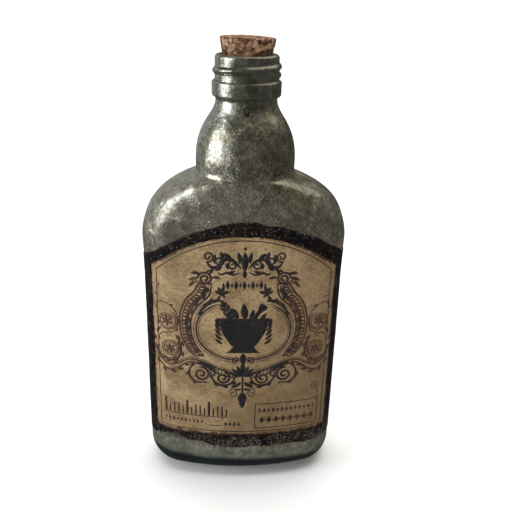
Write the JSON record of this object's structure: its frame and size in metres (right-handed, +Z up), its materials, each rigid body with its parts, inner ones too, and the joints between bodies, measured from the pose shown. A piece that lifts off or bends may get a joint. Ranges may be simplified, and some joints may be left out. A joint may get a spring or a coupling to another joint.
{
  "type": "medicine bottle",
  "caption": "Oval glass medicine flask with a bulb neck and screw finish, silvered inside, with a dark coat and an arched paper label on its front, closed by a tapered cork.",
  "frame": {"origin": "middle of the base, on the surface that the flask stands on", "axes": "+Z up along the neck, label on the -Y side, +X to the right of someone who reads the label"},
  "size_m": [0.0878, 0.0429, 0.1981],
  "materials": {
    "glass": "clear, thick, slightly green at the base",
    "silvering": "aged crackled silver",
    "coat": "dark paint with fine sparkle",
    "label": "aged printed paper",
    "cork": "natural cork"
  },
  "bodies": {
    "bottle": {"bottle_glass": "glass", "silver_lining": "silvering", "backing_coat": "coat", "paper_label": "label"},
    "cork": {"cork_stopper": "cork"}
  },
  "joints": [
    {"name": "cork_pull", "type": "slide", "parent": "bottle", "child": "cork", "axis": [0, 0, 1], "range_m": [0, 0.045]}
  ]
}
